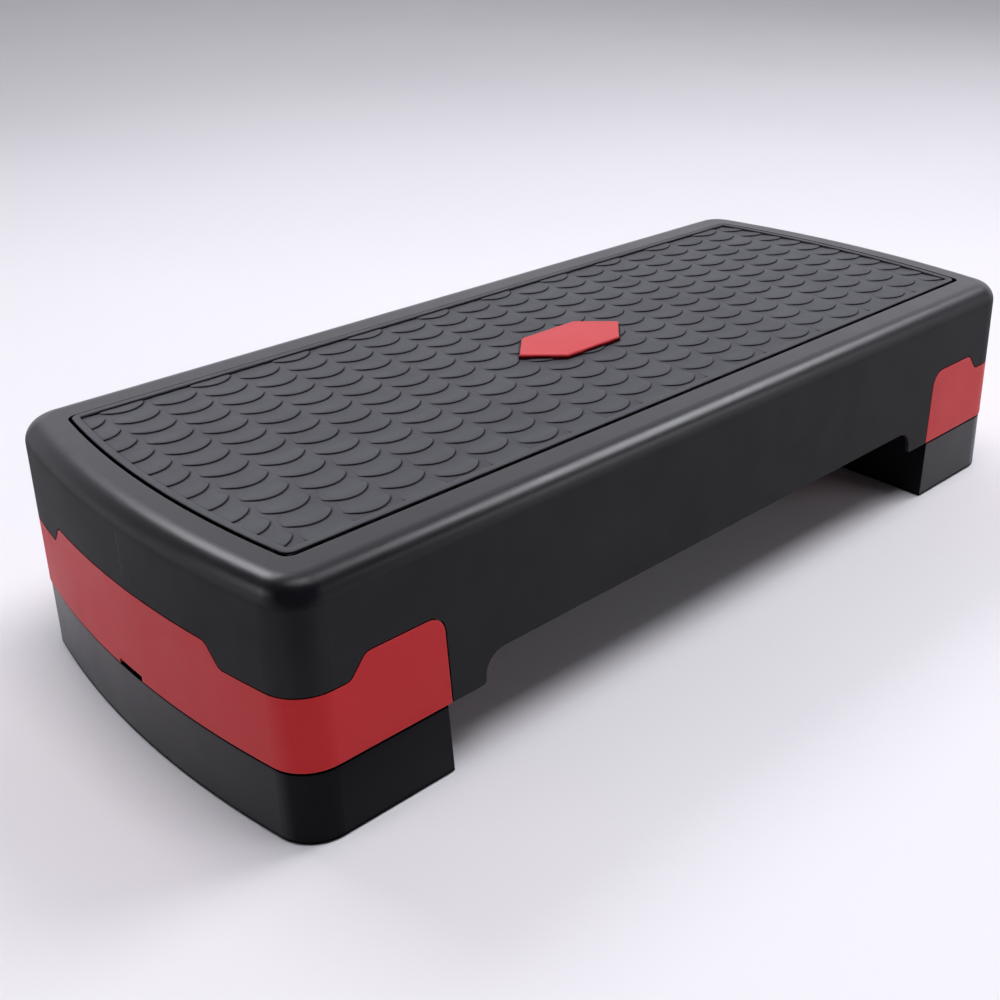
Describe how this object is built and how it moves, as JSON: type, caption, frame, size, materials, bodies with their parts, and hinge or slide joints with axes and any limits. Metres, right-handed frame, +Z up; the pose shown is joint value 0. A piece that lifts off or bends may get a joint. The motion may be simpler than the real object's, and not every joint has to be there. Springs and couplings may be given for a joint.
{
  "type": "aerobic step platform",
  "caption": "Low stepping platform: rounded deck with a scale-textured mat on stacked end risers that lift off to set the height.",
  "frame": {"origin": "centre of the footprint on the floor", "axes": "+X along the step, +Y across it towards the back, +Z up"},
  "size_m": [0.674, 0.29, 0.1518],
  "materials": {
    "black_plastic": "satin, finely spark-eroded",
    "red_plastic": "satin",
    "mat_rubber": "matte, moulded scale relief",
    "pad_rubber": "matte"
  },
  "bodies": {
    "lower_riser_left": {"lower_riser_left": "black_plastic", "lower_pad_left_inner_front": "pad_rubber", "lower_pad_left_inner_back": "pad_rubber", "lower_pad_left_outer_front": "pad_rubber", "lower_pad_left_outer_back": "pad_rubber"},
    "upper_riser_left": {"upper_riser_left": "red_plastic", "upper_pad_left_inner_front": "pad_rubber", "upper_pad_left_inner_back": "pad_rubber", "upper_pad_left_outer_front": "pad_rubber", "upper_pad_left_outer_back": "pad_rubber"},
    "lower_riser_right": {"lower_riser_right": "black_plastic", "lower_pad_right_inner_front": "pad_rubber", "lower_pad_right_inner_back": "pad_rubber", "lower_pad_right_outer_front": "pad_rubber", "lower_pad_right_outer_back": "pad_rubber"},
    "upper_riser_right": {"upper_riser_right": "red_plastic", "upper_pad_right_inner_front": "pad_rubber", "upper_pad_right_inner_back": "pad_rubber", "upper_pad_right_outer_front": "pad_rubber", "upper_pad_right_outer_back": "pad_rubber"},
    "deck": {"deck_shell": "black_plastic", "top_mat": "mat_rubber", "center_badge": "red_plastic"}
  },
  "joints": [
    {"name": "upper_left_lift", "type": "slide", "parent": "lower_riser_left", "child": "upper_riser_left", "axis": [0, 0, 1], "range_m": [0, 0.05]},
    {"name": "deck_lift", "type": "slide", "parent": "upper_riser_left", "child": "deck", "axis": [0, 0, 1], "range_m": [0, 0.1]},
    {"name": "upper_right_drop", "type": "slide", "parent": "deck", "child": "upper_riser_right", "axis": [0, 0, -1], "range_m": [0, 0.1]},
    {"name": "lower_right_drop", "type": "slide", "parent": "upper_riser_right", "child": "lower_riser_right", "axis": [0, 0, -1], "range_m": [0, 0.05]}
  ],
  "couplings": [
    {"joint": "upper_right_drop", "follows": "deck_lift", "ratio": 1},
    {"joint": "lower_right_drop", "follows": "upper_left_lift", "ratio": 1}
  ]
}
